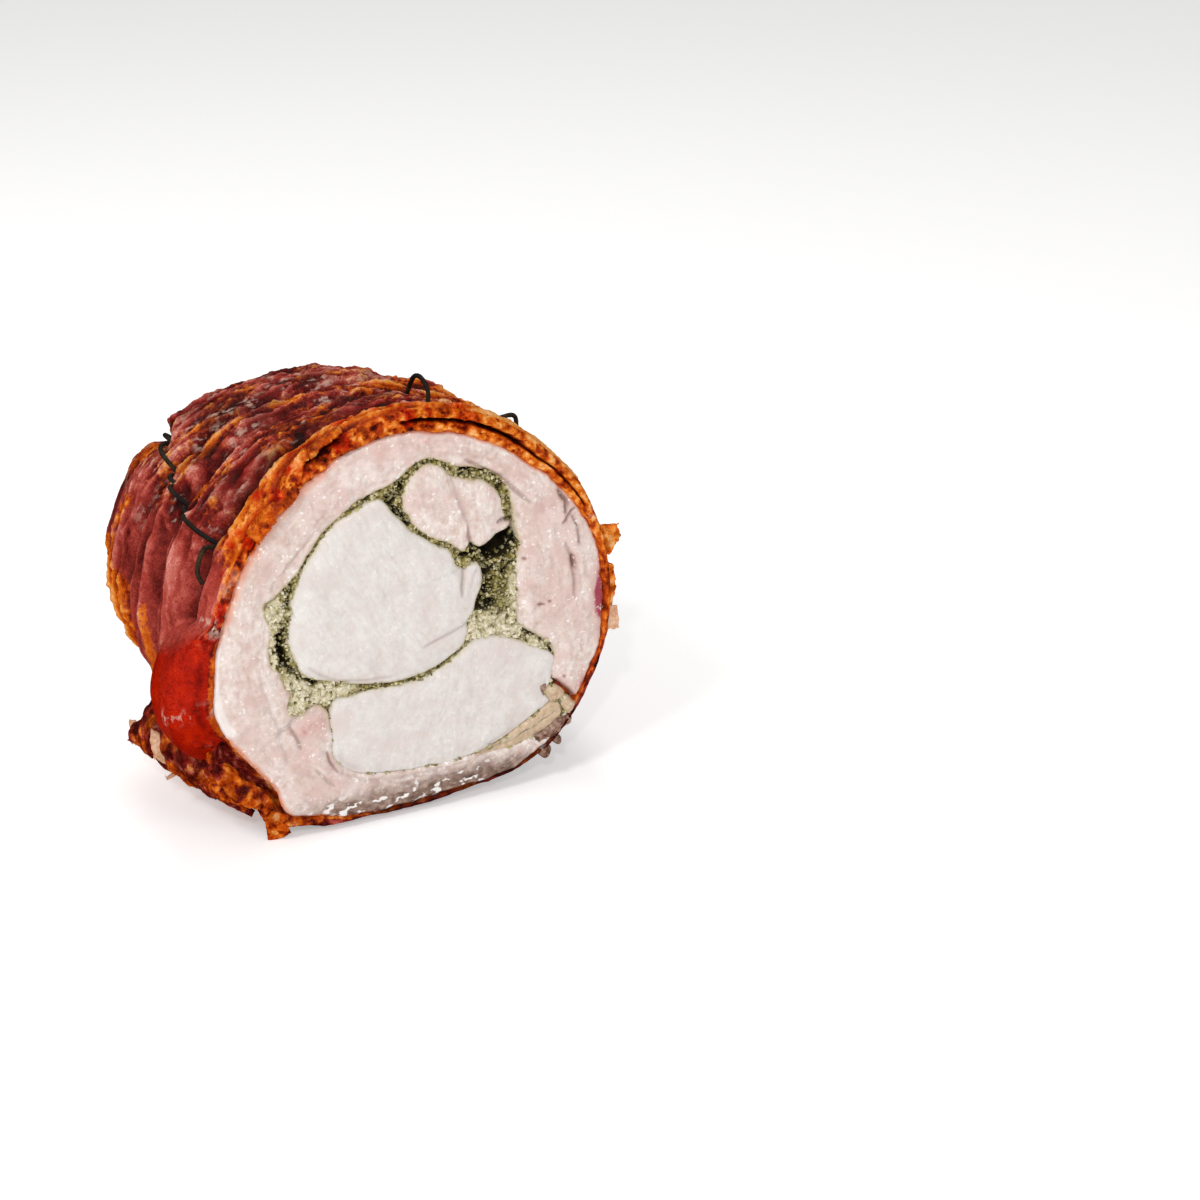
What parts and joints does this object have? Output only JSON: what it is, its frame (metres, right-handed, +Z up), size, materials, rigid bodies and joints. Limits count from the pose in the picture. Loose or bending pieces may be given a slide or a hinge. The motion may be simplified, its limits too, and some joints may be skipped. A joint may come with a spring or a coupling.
{
  "type": "porchetta half",
  "caption": "Cut half of a rolled roast in browned skin, stuffed with herb crumb and fillets and tied with twine, resting on its flat underside with the cut face showing.",
  "frame": {"origin": "on the flat underside that the roast rests on, 36 mm behind the cut face, below the roll's middle line", "axes": "+Z up; +Y along the roll, away from the cut face; +X to the right as seen looking at the cut face"},
  "size_m": [0.137, 0.1024, 0.1243],
  "materials": {
    "roasted_skin": "roasted skin, glossy dark red-brown with rough orange blisters",
    "white_meat": "moist pale roast meat with fine grain",
    "soft_fat": "soft glossy roast fat",
    "herb_crumb": "crumbly green herb stuffing, matt",
    "charred_twine": "twisted cotton, charred dark"
  },
  "bodies": {
    "root": {"rolled_wrap_with_skin": "roasted_skin", "breast_fillet": "white_meat", "tenderloin": "white_meat", "lower_fillet": "white_meat", "fat_strip": "soft_fat", "herb_stuffing": "herb_crumb", "tie_twine": "charred_twine"}
  },
  "joints": []
}
